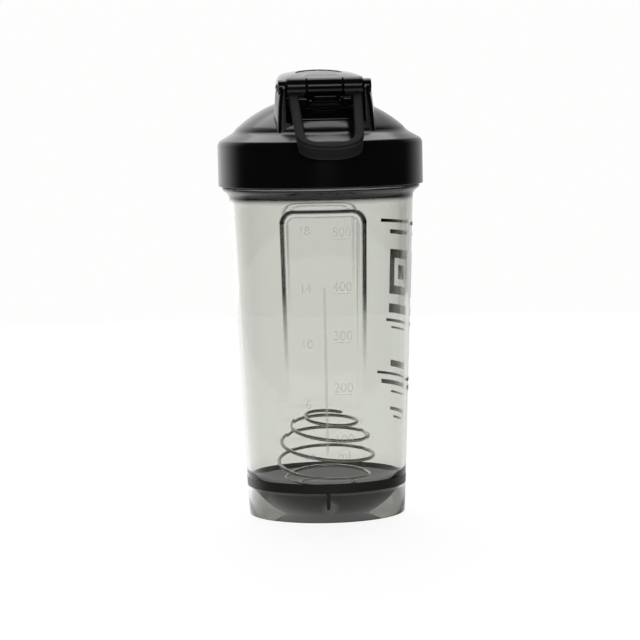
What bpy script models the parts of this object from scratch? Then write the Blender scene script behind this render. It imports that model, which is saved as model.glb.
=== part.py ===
"""Protein shaker bottle: clear cup, black screw lid, flip cap, carry loop and wire whisk ball.

Lengths are millimetres, turned into metres when a mesh is made. The cup stands on z = 0, the
hinge is at -Y and the drinking spout at +Y. Every shape is described about the bottle's axis.
"""

from math import cos, pi, radians, sin, sqrt

import bmesh
import bpy
from mathutils import Matrix, Vector
from mathutils.geometry import interpolate_bezier

MM = 0.001
GAP = 0.3

# Cup
CUP_BASE_R = 35.7
CUP_TOP_R = 41.7
CUP_TOP_Z = 141.0
CUP_WALL = 1.75
CUP_TURN = radians(-4.6)
NECK_R = 41.9
MOUTH_R = 40.1
BEAD_R = 45.0
BEAD_TOP = 149.5
RIM_Z = 167.2
SKIRT_R = 34.1
FLOOR_TOP = 17.6
FLOOR_UNDER = 13.4
FLOOR_CURVE = 3.2
RIB_OUTLINE = [(25, 6.2), (34.8, 6.0), (35.1, 14.5), (30, 10.4)]
RIB_HALF = 0.75

# Grip windows pressed into the cup, front and back
WINDOW_HALF = radians(23.5)
WINDOW_EDGE = radians(5.2)
WINDOW_TOP = 140.2
WINDOW_BOTTOM = 30.0
WINDOW_BEVEL = 3.2
WINDOW_CORNER = 3.5
WINDOW_DEPTH = 1.6

# Two-start thread shared by the neck and the lid
THREAD_LEAD = 8.0
THREAD_STARTS = 2
THREAD_Z = 154.0
THREAD_TURN = radians(250)
THREAD_STEP = radians(10)
THREAD_ROOT_HALF = 0.95
THREAD_CREST_HALF = 0.45
NECK_CREST = 43.6
LID_CREST = 42.9

# Lid
RING_R = 46.5
RING_BOTTOM = 149.95
RING_INNER = 44.7
CEILING = 169.6
LIP_INNER = 38.0
LIP_OUTER = 39.5
LIP_BOTTOM = 164.5
DOME_R = 56.4
DOME_WALL = 2.0
DOME_CENTRE = 134.2
DOME_EDGE = 38.2

# Hinge, and the hollow tower that carries it and the spout
HINGE_Y = -24.7
HINGE_Z = 194.2
BARREL_R = 4.5
PIN_R = 1.6
BORE_R = 1.9
KNUCKLE_HALF = 8.0
LOOP_INNER = 8.3
LOOP_OUTER = 16.95
EAR_INNER = 17.25
EAR_OUTER = 20.8
EAR_R = 3.5
TOWER_REAR = HINGE_Y - EAR_R
TOWER_BOTTOM = 174.0
TOWER_HALF = 22.2
TOWER_TAPER = 0.09
TOWER_BACK = -25.0
TOWER_NOSE = 38.0
TOWER_FLARE = 1.1
TOWER_PINCH = 0.065
DECK_SLOPE = 0.12
DECK_WALL = 2.0
REAR_LEAN = 0.27
HOLLOW_BOTTOM = 165.0
HOLLOW_REAR = -16.0
SHELF_Z = 179.2
SHELF_HALF = 19.0
SHELF_OUTLINE = [(-32.5, 177.2), (-29.0, 190.0), (-16.5, 190.0), (-16.5, 177.2)]
WALL_Y = -26.5
WALL_TOP = 189.0
HOOD_DEPTH = -23.5
WEB_OUTLINE = [(-26.0, 185.5), (-27.7, 185.6), (-28.0, 186.0), (-28.0, 188.7), (-26.0, 189.0)]
WEB_HALF = 7.6
TAB_OUTLINE = [(-26.0, 187.3), (-29.2, 187.3), (-29.4, 190.4), (-28.4, 190.5), (-27.9, 188.8), (-26.0, 188.7)]
TAB_HALF = 5.3
SMILE_Z = 183.3
SMILE_R = 36.0

# Spout and flip cap
SPOUT_Y = 20.0
SPOUT_R = 11.0
SPOUT_BORE = 9.0
SPOUT_TOP = 197.0
CAP_REAR = -19.6
CAP_TOP = 202.0
CAP_CREST_Y = 12.0
CAP_WALL = 2.0
CAP_EDGE = 0.25
CAP_MIDDLE = 5.0
NECK_OUTLINE = [(HINGE_Y, 195.4), (-18.4, 195.4), (-18.4, 198.9), (-19.6, 198.75), (HINGE_Y, 198.68)]
THUMB_OUTLINE = [(36.5, 189.2), (41.6, 190.4), (41.9, 191.2), (41.2, 191.9), (36.5, 192.2)]
THUMB_HALF = 8.0
STEM_R = 4.5
PLUG_LOW = 193.9
DISC_Y = -1.0
DISC_R = 10.0
DISC_SINK = 0.5

# Carry loop, hanging over the ring
LOOP_LEAN = radians(44)
LOOP_PLATE = 2.4
LOOP_REACH = 51.6
LIP_DROP = 4.5
LIP_START = 31.5
FILLET_OUTLINE = [(12.8, 7.0), (12.8, 3.0), (8.6, 3.0), (8.8, 4.4), (10.6, 4.9), (11.8, 5.8)]

# Whisk ball
BALL_R = 21.7
BALL_Z = 25.2
WIRE_R = 0.8
BALL_LEAN_X = radians(7.6)
BALL_LEAN_Y = radians(3.4)
BALL_TURN = radians(-5.6)
COIL_START = -0.36
COIL_END = 5.12
COIL_STEPS = 92

PIN_HALF = 20.2
BEYOND = 60
ABOVE = 210
AXIS_Y = (LOOP_REACH - RING_R) / 2
ORIGIN = Vector((0, 0, 0))
HINGE = Vector((0, HINGE_Y, HINGE_Z))


# ---------------------------------------------------------------- tools


def material(name, colour, roughness, metallic=0.0, alpha=1.0):
    """A Principled material in plain colours."""
    result = bpy.data.materials.new(name)
    result.use_nodes = True
    shader = result.node_tree.nodes["Principled BSDF"]
    shader.inputs["Base Color"].default_value = (*colour, 1)
    shader.inputs["Roughness"].default_value = roughness
    shader.inputs["Metallic"].default_value = metallic
    shader.inputs["Alpha"].default_value = alpha
    return result


def capped(rings):
    """The rings closed at both ends with a point in the middle."""
    first, last = [[sum(ring, Vector()) / len(ring)] for ring in (rings[0], rings[-1])]
    return skin([first, *rings, last])


def skin(rings, cyclic=False):
    """A closed mesh through rings of points. A ring of one point is a pole."""
    bm = bmesh.new()
    loops = [[bm.verts.new(p) for p in ring] for ring in rings]
    pairs = list(zip(loops, loops[1:]))
    if cyclic:
        pairs.append((loops[-1], loops[0]))
    for low, high in pairs:
        count = max(len(low), len(high))
        for i in range(count):
            j = (i + 1) % count
            corners = [low[i % len(low)], low[j % len(low)], high[j % len(high)], high[i % len(high)]]
            bm.faces.new(dict.fromkeys(corners))
    bmesh.ops.recalc_face_normals(bm, faces=bm.faces)
    return bm


def circle(radius, z, segments):
    """Points of a level circle, or the single point on the axis."""
    if radius == 0:
        return [Vector((0, 0, z))]
    steps = [2 * pi * i / segments for i in range(segments)]
    return [Vector((radius * cos(a), radius * sin(a), z)) for a in steps]


def revolve(profile, segments, cyclic=False):
    """Turn (radius, z) points about the bottle's axis."""
    return skin([circle(r, z, segments) for r, z in profile], cyclic)


def prism(outline, axis, low, high):
    """Extrude a closed 2-D outline along X or Y, from low to high."""
    if axis == "X":
        ends = [[Vector((d, a, b)) for a, b in outline] for d in (low, high)]
    else:
        ends = [[Vector((a, d, b)) for a, b in outline] for d in (low, high)]
    bm = bmesh.new()
    loops = [[bm.verts.new(p) for p in end] for end in ends]
    for i, start in enumerate(loops[0]):
        j = (i + 1) % len(outline)
        bm.faces.new((start, loops[0][j], loops[1][j], loops[1][i]))
    for loop in loops:
        bm.faces.new(loop)
    bmesh.ops.recalc_face_normals(bm, faces=bm.faces)
    return bm


def rod(radius, low, high, segments=24):
    """A cylinder on the hinge axis, from x = low to x = high."""
    steps = [2 * pi * i / segments for i in range(segments)]
    outline = [(HINGE_Y + radius * cos(a), HINGE_Z + radius * sin(a)) for a in steps]
    return prism(outline, "X", low, high)


def box(low, high):
    """A block between two corners."""
    outline = [(low[1], low[2]), (high[1], low[2]), (high[1], high[2]), (low[1], high[2])]
    return prism(outline, "X", low[0], high[0])


def upright(radius, y, low, high, top_radius=None, segments=36):
    """A vertical cylinder or cone centred on x = 0 and the given y."""
    top = radius if top_radius is None else top_radius
    bm = revolve([(0, low), (radius, low), (top, high), (0, high)], segments)
    bmesh.ops.translate(bm, verts=bm.verts, vec=(0, y, 0))
    return bm


def thing(name, bm, look, parent, pivot=ORIGIN, sharp=35):
    """Name a mesh, scale it to metres and put its origin on its pivot."""
    bmesh.ops.translate(bm, verts=bm.verts, vec=-pivot)
    bmesh.ops.scale(bm, verts=bm.verts, vec=(MM, MM, MM))
    mesh = bpy.data.meshes.new(name)
    bm.to_mesh(mesh)
    bm.free()
    mesh.shade_smooth()
    mesh.set_sharp_from_angle(angle=radians(sharp))
    mesh.materials.append(look)
    result = bpy.data.objects.new(name, mesh)
    bpy.context.collection.objects.link(result)
    result.parent = parent
    return result


def combine(target, operation, name, bm, pivot=ORIGIN):
    """Join or cut a piece with a hidden tool."""
    tool = thing(name, bm, target.data.materials[0], target.parent, pivot)
    tool.hide_render = True
    tool.display_type = "WIRE"
    modifier = target.modifiers.new(name, "BOOLEAN")
    modifier.operation = operation
    modifier.object = tool


def empty(name, location, parent=None):
    """A frame that pieces hang on."""
    result = bpy.data.objects.new(name, None)
    bpy.context.collection.objects.link(result)
    result.location = Vector(location) * MM
    result.parent = parent
    return result


def thread_ridge(root, crest, start, rise):
    """One start of the thread, with a trapezoid section and pointed ends."""
    steps = round(THREAD_TURN / THREAD_STEP)
    rings = []
    for i in range(steps + 1):
        turn = start + THREAD_TURN * i / steps
        centre = THREAD_Z + rise + THREAD_LEAD * (turn - start) / (2 * pi)
        reach = root + (crest - root) * min(1, min(i, steps - i) / 3 + 0.25)
        section = [(root, -THREAD_ROOT_HALF), (reach, -THREAD_CREST_HALF)]
        section += [(r, -z) for r, z in reversed(section)]
        rings.append([Vector((r * cos(turn), r * sin(turn), centre + z)) for r, z in section])
    return capped(rings)


# ---------------------------------------------------------------- cup


def cup_radius(z):
    """Outer radius of the tapered wall."""
    return CUP_BASE_R + (CUP_TOP_R - CUP_BASE_R) * z / CUP_TOP_Z


def dent(angle, z):
    """How deep the grip window is at this place on the wall."""
    if not WINDOW_BOTTOM < z < WINDOW_TOP:
        return 0.0
    away = abs((angle + pi / 2 + pi / 2) % pi - pi / 2)
    radius = cup_radius(z)
    side = (away - WINDOW_HALF) * radius + WINDOW_CORNER
    top = z - (WINDOW_TOP - WINDOW_BEVEL) + WINDOW_CORNER
    outside = sqrt(max(side, 0) ** 2 + max(top, 0) ** 2) + min(max(side, top), 0) - WINDOW_CORNER
    depth = WINDOW_DEPTH * (z - WINDOW_BOTTOM) / (WINDOW_TOP - WINDOW_BOTTOM)
    return depth * min(1, max(0, 1 - outside / WINDOW_BEVEL))


def cup_columns():
    """Angles of the cup's mesh columns, closer together on the window edges."""
    edge = WINDOW_HALF + WINDOW_EDGE
    half = [0, 0.33 * WINDOW_HALF, 0.66 * WINDOW_HALF, 0.87 * WINDOW_HALF, WINDOW_HALF]
    half += [WINDOW_HALF + WINDOW_EDGE / 2, edge]
    window = [-a for a in half[:0:-1]] + half
    side = [edge + (pi - 2 * edge) * i / 11 for i in range(1, 11)]
    front = [-pi / 2 + a for a in window + side]
    return front + [a + pi for a in front]


def floor_line(low, high, radius):
    """A dished floor line from its rim in to the axis."""
    fractions = (1, 0.96, 0.9, 0.8, 0.66, 0.5, 0.3, 0)
    return [(f * radius, low + (high - low) * f**FLOOR_CURVE) for f in fractions]


def make_cup(parent):
    """The clear cup: skirt, dished floor, wall with two windows, bead, neck and thread."""
    wall = [30, 50, 70, 90, 110, 125, 133, 136.8, 138, 139.2, WINDOW_TOP]
    under = floor_line(1.4, FLOOR_UNDER, SKIRT_R)[::-1]
    outer = [(SKIRT_R + 0.1, 0.4), (SKIRT_R + 0.4, 0), (CUP_BASE_R - 0.3, 0), (CUP_BASE_R, 0.4)]
    outer += [(cup_radius(z), z) for z in (FLOOR_UNDER, FLOOR_TOP, *wall)]
    outer += [(NECK_R, 145.2), (42.9, 146.7), (BEAD_R, 148.6), (BEAD_R, BEAD_TOP), (NECK_R, BEAD_TOP + 0.1)]
    outer += [(NECK_R, RIM_Z - 0.4), (NECK_R - 0.4, RIM_Z), (MOUTH_R + 0.4, RIM_Z), (MOUTH_R, RIM_Z - 0.4)]
    inner = [(MOUTH_R, 146.0)]
    inner += [(cup_radius(z) - CUP_WALL, z) for z in reversed(wall)]
    inner += floor_line(4.0, FLOOR_TOP, cup_radius(FLOOR_TOP) - CUP_WALL)
    columns = cup_columns()
    rings = []
    for r, z in under + outer + inner:
        ring = [Vector(((r - dent(a, z)) * cos(a), (r - dent(a, z)) * sin(a), z)) for a in columns]
        rings.append(ring if r else [Vector((0, 0, z))])
    cup = thing("cup", skin(rings), CLEAR, parent)
    cup.rotation_euler.z = CUP_TURN
    for i in range(THREAD_STARTS):
        ridge = thread_ridge(NECK_R - 0.35, NECK_CREST, 2 * pi * i / THREAD_STARTS, 0)
        combine(cup, "UNION", f"neck_thread_{i}", ridge)
    for side in (-1, 1):
        rib = prism([(side * y, z) for y, z in RIB_OUTLINE], "X", -RIB_HALF, RIB_HALF)
        bmesh.ops.rotate(rib, verts=rib.verts, matrix=Matrix.Rotation(CUP_TURN, 3, "Z"))
        combine(cup, "UNION", f"floor_rib_{side}", rib)


# ---------------------------------------------------------------- lid


def dome_z(radius, inset=0):
    """Height of the dome's outer surface, or of one set in from it."""
    return DOME_CENTRE + sqrt((DOME_R - inset) ** 2 - radius**2)


def deck_z(y):
    """The sloping line where the flip cap meets the tower."""
    return HINGE_Z - DECK_SLOPE * (y - HINGE_Y)


def plan(inset, rear, count=13):
    """Outline of the tower and the flip cap from above, with a straight rear edge."""
    length = TOWER_NOSE - TOWER_BACK - inset
    points = []
    for i in range(count):
        turn = pi / 2 * i / (count - 1)
        along = length * sqrt(sin(turn))
        half = (TOWER_HALF - TOWER_TAPER * along) * max(cos(turn), 0) ** 0.9 - inset * cos(turn)
        points.append((half if i < count - 1 else 0, TOWER_BACK + along))
    half = TOWER_HALF - TOWER_TAPER * max(0, rear - TOWER_BACK) - inset
    if rear < TOWER_BACK:
        corner = [(2.6, 0), (1.75, 0.45), (1.3, 1.3), (0.9, 3.0), (0.5, 5.0), (0.2, 7.0)]
    else:
        corner = [(0.4, 0), (0.12, 0.12), (0, 0.4)]
    start = [(half * 0.45, rear)] + [(half - pull, rear + along) for pull, along in corner]
    points = start + [p for p in points if p[1] > start[-1][1] + 1]
    return points + [(-x, y) for x, y in reversed(points[:-1])]


def make_tower(inset, bottom, top_drop, rear):
    """The tower that grows out of the dome, or the hollow inside it."""
    rings = [[Vector((0, CAP_MIDDLE, bottom))]]
    for share in (0, 0.25, 0.5, 0.7, 0.85, 1):
        ring = []
        for x, y in plan(inset, rear):
            z = bottom + (deck_z(y) - top_drop - bottom) * share
            pinch = TOWER_PINCH * share**4 * min(1, max(0, (-18 - y) / 6))
            flare = 1 + TOWER_FLARE / TOWER_HALF * (1 - share) ** 1.5 - pinch
            lean = REAR_LEAN * (HINGE_Z - z) * max(0, y / rear) ** 2
            ring.append(Vector((x * flare, y - lean, z)))
        rings.append(ring)
    rings.append([Vector((0, CAP_MIDDLE, deck_z(CAP_MIDDLE) - top_drop))])
    return skin(rings)


def make_lid(parent):
    """The screw lid: ring, shoulder, dome, hollow tower, hinge ears, spout and thread."""
    outer = [(DOME_EDGE * i / 8, dome_z(DOME_EDGE * i / 8)) for i in range(9)]
    outer += [(38.9, 174.6), (40.1, 173.7), (45.7, 170.4), (46.3, 169.4), (RING_R, 168.3)]
    outer += [(RING_R, RING_BOTTOM + 0.5), (RING_R - 0.4, RING_BOTTOM), (RING_INNER + 0.3, RING_BOTTOM)]
    outer += [(RING_INNER, RING_BOTTOM + 0.4), (RING_INNER, CEILING), (LIP_OUTER, CEILING)]
    outer += [(LIP_OUTER, LIP_BOTTOM), (LIP_INNER, LIP_BOTTOM)]
    inner = [(LIP_INNER * i / 6, dome_z(LIP_INNER * i / 6, DOME_WALL)) for i in range(6, -1, -1)]
    lid = thing("lid_shell", revolve(outer + inner, 60), BLACK, parent)
    combine(lid, "UNION", "tower", make_tower(0, TOWER_BOTTOM, 0, TOWER_REAR))
    combine(lid, "UNION", "shelf", prism(SHELF_OUTLINE, "X", -SHELF_HALF, SHELF_HALF))
    for side in (-1, 1):
        low, high = sorted((side * (EAR_INNER - 1), side * EAR_OUTER))
        combine(lid, "UNION", f"ear_{side}", rod(EAR_R, low, high, 32))
    cut_hinge_room(lid)
    combine(lid, "DIFFERENCE", "tower_hollow", make_tower(DECK_WALL, HOLLOW_BOTTOM, DECK_WALL, HOLLOW_REAR))
    combine(lid, "DIFFERENCE", "pin_bore", rod(BORE_R, -BEYOND, BEYOND))
    combine(lid, "UNION", "spout", upright(SPOUT_R, SPOUT_Y, deck_z(SPOUT_Y) - 1, SPOUT_TOP, SPOUT_R - 0.5))
    combine(lid, "DIFFERENCE", "spout_bore", upright(SPOUT_BORE, SPOUT_Y, LIP_BOTTOM, ABOVE))
    combine(lid, "UNION", "web", prism(WEB_OUTLINE, "X", -WEB_HALF, WEB_HALF))
    combine(lid, "UNION", "detent_tab", prism(TAB_OUTLINE, "X", -TAB_HALF, TAB_HALF))
    for i in range(THREAD_STARTS):
        ridge = thread_ridge(RING_INNER + 0.35, LID_CREST, 2 * pi * i / THREAD_STARTS, -THREAD_LEAD / 4)
        combine(lid, "UNION", f"lid_thread_{i}", ridge)


def cut_hinge_room(lid):
    """Room for the barrel and the loop's arms, and the hood's arched opening below it."""
    clear = BARREL_R + 0.5
    steps = [radians(270 + 15 * i) for i in range(7)]
    under = [(HINGE_Y + clear * cos(a), HINGE_Z + clear * sin(a)) for a in steps]
    room = [(-BEYOND, SHELF_Z), (WALL_Y, SHELF_Z), (WALL_Y, WALL_TOP), *under]
    room += [(under[-1][0], ABOVE), (-BEYOND, ABOVE)]
    combine(lid, "DIFFERENCE", "barrel_room", prism(room, "X", -EAR_INNER, EAR_INNER))
    across = [EAR_INNER * (i / 6 - 1) for i in range(13)]
    smile = [(x, SMILE_Z + x * x / (2 * SMILE_R)) for x in across]
    hood = [(EAR_INNER, SHELF_Z), (-EAR_INNER, SHELF_Z), *smile]
    combine(lid, "DIFFERENCE", "hood_room", prism(hood, "Y", -BEYOND, HOOD_DEPTH))


def make_gasket(parent):
    """The soft ring above the cup's rim."""
    low, high = RIM_Z + GAP, CEILING - GAP
    section = [(39.9, low), (42.8, low), (43.1, low + 0.4), (43.1, high - 0.4), (42.8, high), (39.9, high)]
    thing("lid_gasket", revolve(section, 60, cyclic=True), RUBBER, parent)


# ---------------------------------------------------------------- flip cap


def crown_z(x, y):
    """Height of the cap's crown."""
    span = 333 if y < CAP_CREST_Y else 135
    return CAP_TOP - (y - CAP_CREST_Y) ** 2 / span - x * x / 157


def cap_ring(inset, drop=None):
    """A ring of the flip cap, on its lower edge or at a drop below the crown."""
    ring = []
    for x, y in plan(inset, CAP_REAR + inset):
        low = deck_z(y) + GAP + 0.05
        ring.append(Vector((x, y, low if drop is None else max(crown_z(x, y) - drop, low + 0.2))))
    return ring


def crown_rings(inset, drop):
    """Rings from the crown's edge in to its middle."""
    edge = [Vector((p.x, p.y, 0)) for p in cap_ring(inset, drop)]
    rings = []
    for share in (1, 0.8, 0.6, 0.4, 0.2):
        ring = [Vector((p.x * share, CAP_MIDDLE + (p.y - CAP_MIDDLE) * share, 0)) for p in edge]
        rings.append([Vector((p.x, p.y, crown_z(p.x, p.y) - drop)) for p in ring])
    return rings + [[Vector((0, CAP_MIDDLE, crown_z(0, CAP_MIDDLE) - drop))]]


def make_cap(parent):
    """The flip cap: a crowned shell, its knuckle, the disc pocket and the thumb tab."""
    outside = [cap_ring(CAP_EDGE), cap_ring(CAP_EDGE, 2.4), cap_ring(0.55, 1.2), cap_ring(1.4, 0.35)]
    outside += crown_rings(2.6, 0)
    inside = [cap_ring(CAP_EDGE + CAP_WALL), cap_ring(CAP_EDGE + CAP_WALL, 5.0), *crown_rings(4.2, CAP_WALL)]
    cap = thing("flip_cap", skin(inside[::-1] + outside), GLOSS, parent, HINGE)
    combine(cap, "UNION", "cap_knuckle", rod(BARREL_R, -KNUCKLE_HALF, KNUCKLE_HALF, 32), HINGE)
    combine(cap, "UNION", "cap_neck", prism(NECK_OUTLINE, "X", -KNUCKLE_HALF, KNUCKLE_HALF), HINGE)
    combine(cap, "UNION", "thumb_tab", prism(THUMB_OUTLINE, "X", -THUMB_HALF, THUMB_HALF), HINGE)
    stem = upright(STEM_R, SPOUT_Y, SPOUT_TOP, crown_z(0, SPOUT_Y) - 1, segments=24)
    combine(cap, "UNION", "plug_stem", stem, HINGE)
    combine(cap, "DIFFERENCE", "cap_bore", rod(BORE_R, -BEYOND, BEYOND), HINGE)
    pocket = disc(DISC_R + GAP, DISC_SINK + 1.0, -3)
    combine(cap, "DIFFERENCE", "disc_pocket", pocket, HINGE)


def disc(radius, under, over):
    """A round plate that follows the crown, from under to over below it."""
    rings = []
    for drop, shares in ((under, (0, 0.5, 1)), (over, (1, 0.5, 0))):
        for share in shares:
            points = circle(radius * share, 0, 32)
            rings.append([Vector((p.x, p.y + DISC_Y, crown_z(p.x, p.y + DISC_Y) - drop)) for p in points])
    return skin(rings)


def make_plug(parent):
    """The soft stopper held by the cap's stem."""
    top = SPOUT_TOP - GAP
    profile = [(0, top), (SPOUT_BORE - 0.4, top), (SPOUT_BORE - 0.7, PLUG_LOW + 0.7)]
    bm = revolve([*profile, (SPOUT_BORE - 1.2, PLUG_LOW), (0, PLUG_LOW)], 36)
    bmesh.ops.translate(bm, verts=bm.verts, vec=(0, SPOUT_Y, 0))
    thing("spout_plug", bm, RUBBER, parent, HINGE)


# ---------------------------------------------------------------- carry loop


def bail_curve(top, shoulder, corner, low):
    """Half of the bail's edge, (x, distance from the hinge), from the knuckle to the middle."""
    points = [Vector((*top, 0)), Vector((*shoulder, 0))]
    handles = Vector((shoulder[0] + (shoulder[0] - top[0]) * 0.25, corner[1], 0)), Vector((corner[0], low, 0))
    return points[:1] + list(interpolate_bezier(points[1], *handles, Vector((0, low, 0)), 9))


def bail_point(x, along, out):
    """A place on the hanging bail: across, down from the hinge, and out of its plane."""
    y = HINGE_Y - sin(LOOP_LEAN) * along - cos(LOOP_LEAN) * out
    return Vector((x, y, HINGE_Z - cos(LOOP_LEAN) * along + sin(LOOP_LEAN) * out))


def make_loop(parent):
    """The carry loop: two knuckles, a flat bail and its turned-down finger lip."""
    outer = bail_curve((16.7, 2.5), (15.0, 30.0), (10.5, 34.4), 37.8)
    inner = bail_curve((12.2, 2.5), (10.9, 28.8), (8.0, 32.6), 33.8)
    outer += [Vector((-p.x, p.y, 0)) for p in reversed(outer[:-1])]
    inner += [Vector((-p.x, p.y, 0)) for p in reversed(inner[:-1])]
    half = LOOP_PLATE / 2
    rings = []
    for a, b in zip(outer, inner):
        edge = (b - a).normalized() * 0.6
        section = [(a + edge, -half), (a, -half + 0.6), (a, half - 0.6), (a + edge, half)]
        section += [(b - edge, half), (b, half - 0.6), (b, -half + 0.6), (b - edge, -half)]
        rings.append([bail_point(p.x, p.y, out) for p, out in section])
    loop = thing("carry_loop", capped(rings), MATTE, parent, HINGE)
    add_finger_lip(loop, [p for p in outer if p.y > LIP_START])

    for side in (-1, 1):
        low, high = sorted((side * LOOP_INNER, side * LOOP_OUTER))
        combine(loop, "UNION", f"loop_knuckle_{side}", rod(BARREL_R, low, high, 32), HINGE)
        faces = (0.1 - half, half - 0.1)
        rings = [[bail_point(side * x, v, out) for x, v in FILLET_OUTLINE] for out in faces]
        combine(loop, "UNION", f"fillet_{side}", capped(rings), HINGE)
    combine(loop, "DIFFERENCE", "loop_bore", rod(BORE_R, -BEYOND, BEYOND), HINGE)


def add_finger_lip(loop, edge):
    """The lip that hangs from the bail's far edge."""
    rings = []
    for i, p in enumerate(edge):
        centre = bail_point(p.x, p.y, 0)
        inward = Vector((p.x * -0.12, 1.8, 0))
        drop = LIP_DROP if 0 < i < len(edge) - 1 else LIP_DROP * 0.5
        top, low = Vector((0, 0, 0.5)), Vector((0, 0, -drop))
        rings.append([centre + top, centre + low, centre + low + inward, centre + top + inward])
    combine(loop, "UNION", "finger_lip", capped(rings), HINGE)


# ---------------------------------------------------------------- whisk ball


def coil_point(turn):
    """The wire's centre line: a left-handed coil wound on a ball, turns counted from -X."""
    down = max(turn, 0)
    slope = radians(28.2 + 18.6 * down + 2.1 * down**2 - 0.2 * down**3)
    angle = pi + 2 * pi * turn
    radius = BALL_R * sin(slope)
    ball = Vector((radius * cos(angle), radius * sin(angle), BALL_R * cos(slope)))
    lean = Matrix.Rotation(BALL_LEAN_Y, 3, "Y") @ Matrix.Rotation(BALL_LEAN_X, 3, "X")
    return lean @ ball + Vector((0, 0, BALL_Z))


def make_whisk(parent):
    """The steel whisk ball that rests in the dished floor."""
    count = COIL_STEPS
    path = [coil_point(COIL_START + (COIL_END - COIL_START) * i / count) for i in range(count + 1)]
    rings = []
    for i, point in enumerate(path):
        ahead = (path[min(i + 1, count)] - path[max(i - 1, 0)]).normalized()
        across = ahead.cross(point - Vector((0, 0, BALL_Z))).normalized()
        over = across.cross(ahead)
        steps = [2 * pi * k / 6 for k in range(6)]
        rings.append([point + WIRE_R * (across * cos(a) + over * sin(a)) for a in steps])
    whisk = thing("whisk_ball", skin([[path[0]], *rings, [path[-1]]]), STEEL, parent, sharp=70)
    whisk.rotation_euler.z = BALL_TURN


# ---------------------------------------------------------------- assembly

for old in list(bpy.data.objects):
    bpy.data.objects.remove(old)

CLEAR = material("clear_plastic", (0.62, 0.65, 0.60), 0.08, alpha=0.35)
BLACK = material("black_lid", (0.012, 0.012, 0.012), 0.28)
GLOSS = material("gloss_black_cap", (0.012, 0.012, 0.012), 0.12)
MATTE = material("matte_black_loop", (0.03, 0.03, 0.03), 0.5)
RUBBER = material("grey_silicone", (0.20, 0.20, 0.19), 0.6)
GREY = material("grey_inset", (0.23, 0.23, 0.22), 0.35)
STEEL = material("whisk_steel", (0.55, 0.56, 0.55), 0.2, metallic=1.0)

bottle_axis = empty("bottle_axis", (0, AXIS_Y, 0))
hinge_axis = empty("hinge_axis", HINGE, bottle_axis)

make_cup(bottle_axis)
make_lid(bottle_axis)
make_gasket(bottle_axis)
make_whisk(bottle_axis)
make_cap(hinge_axis)
thing("cap_disc", disc(DISC_R, DISC_SINK + 0.7, DISC_SINK), GREY, hinge_axis, HINGE)
make_plug(hinge_axis)
make_loop(hinge_axis)
thing("hinge_pin", rod(PIN_R, -PIN_HALF, PIN_HALF), STEEL, hinge_axis, HINGE)
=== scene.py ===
# %% [markdown]
# # A protein shaker bottle
#
# This lesson dresses a ready-made mechanical model of a shaker bottle: a clear cup, a black screw
# lid, a flip cap, a folding carry loop and a loose wire whisk ball. The model gives every part its
# place and its joints. Here each part gets its final surface, rounded edges and finish.

# %% Load the model
from math import cos, pi, radians, sin, sqrt

import bmesh
import bpy
from mathutils import Euler, Matrix, Vector
from mathutils.geometry import interpolate_bezier


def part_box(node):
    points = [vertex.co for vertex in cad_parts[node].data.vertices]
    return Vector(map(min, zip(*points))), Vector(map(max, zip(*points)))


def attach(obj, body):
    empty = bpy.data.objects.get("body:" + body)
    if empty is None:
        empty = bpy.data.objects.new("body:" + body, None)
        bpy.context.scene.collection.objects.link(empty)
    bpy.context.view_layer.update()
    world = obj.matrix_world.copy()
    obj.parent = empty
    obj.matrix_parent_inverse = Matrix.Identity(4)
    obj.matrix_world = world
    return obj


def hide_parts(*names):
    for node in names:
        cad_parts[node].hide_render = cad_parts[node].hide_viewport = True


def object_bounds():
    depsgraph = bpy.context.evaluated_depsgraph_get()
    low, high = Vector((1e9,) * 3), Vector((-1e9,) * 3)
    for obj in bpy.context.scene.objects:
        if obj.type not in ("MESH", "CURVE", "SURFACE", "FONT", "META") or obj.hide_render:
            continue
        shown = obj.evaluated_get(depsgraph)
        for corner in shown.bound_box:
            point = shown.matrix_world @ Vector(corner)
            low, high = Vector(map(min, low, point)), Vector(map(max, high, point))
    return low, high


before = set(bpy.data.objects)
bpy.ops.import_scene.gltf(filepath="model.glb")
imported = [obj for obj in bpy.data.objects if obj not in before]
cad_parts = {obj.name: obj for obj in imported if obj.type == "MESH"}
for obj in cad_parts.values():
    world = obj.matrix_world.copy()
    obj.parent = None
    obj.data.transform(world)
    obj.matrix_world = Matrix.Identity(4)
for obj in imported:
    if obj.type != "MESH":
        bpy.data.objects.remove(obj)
cad_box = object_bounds()
MM = 0.001
low, high = cad_box
print("CAD box in mm:", [round(v / MM, 1) for v in high - low])

# %% [markdown]
# The bottle is described about the cup's own axis, in millimetres. The carry loop sticks out at the
# back, so the axis isn't in the middle of the box. The gasket is a plain ring about the axis, and
# the pin lies along the hinge line, so both places are read from those two parts of the model.

# %% Places that everything hangs on
ring_low, ring_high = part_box("lid_gasket")
AXIS = Vector((0, (ring_low.y + ring_high.y) / 2 / MM, 0))
pin_low, pin_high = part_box("hinge_pin")
HINGE_Y = (pin_low.y + pin_high.y) / 2 / MM - AXIS.y
HINGE_Z = (pin_low.z + pin_high.z) / 2 / MM
print("axis y, hinge y, hinge z:", round(AXIS.y, 3), round(HINGE_Y, 3), round(HINGE_Z, 3))

# %% [markdown]
# ## Mesh tools
#
# Most of the bottle is either turned about an axis or stretched through a row of rings, so one
# skinning function makes nearly every shape. A quad runs between each pair of neighbours, which
# keeps the surface even and lets smooth shading work.


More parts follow.
